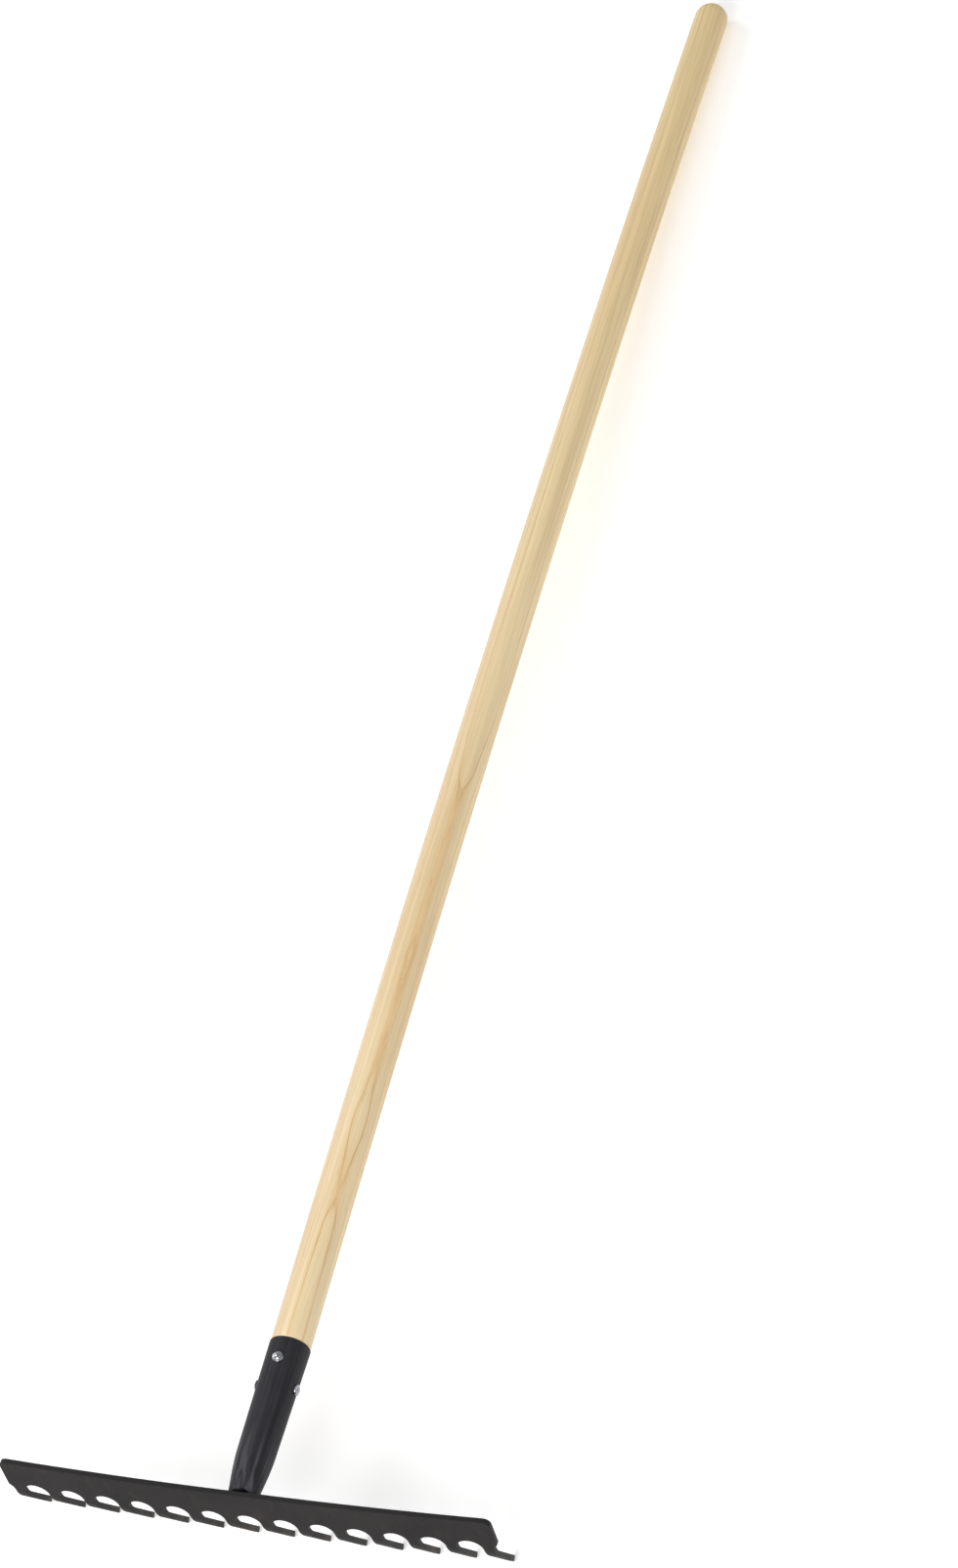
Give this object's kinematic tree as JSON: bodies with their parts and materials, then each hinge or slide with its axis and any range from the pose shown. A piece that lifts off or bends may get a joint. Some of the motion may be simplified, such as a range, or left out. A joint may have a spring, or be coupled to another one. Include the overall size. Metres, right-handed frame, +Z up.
{
  "type": "garden rake",
  "caption": "Level-head garden rake: long round wooden handle riveted into a tapered steel socket welded to a pressed steel head with round-rooted, forward-bent teeth.",
  "frame": {"origin": "centre of the bottom of the whole rake's box, on the ground it lies on", "axes": "+X along the head, +Y from the head towards the grip end of the handle, +Z up; the rake lies on its tooth tips and the end of its handle"},
  "size_m": [0.3516, 1.416, 0.0828],
  "materials": {
    "ash_wood": "pale ash, smooth sanded with a thin clear satin lacquer",
    "socket_paint": "satin black stove enamel",
    "head_paint": "satin black powder paint",
    "rivet_zinc": "bright zinc plate"
  },
  "bodies": {
    "root": {"handle": "ash_wood", "socket": "socket_paint", "rake_head": "head_paint", "weld_bead": "head_paint", "top_rivet": "rivet_zinc", "side_rivet": "rivet_zinc"}
  },
  "joints": []
}
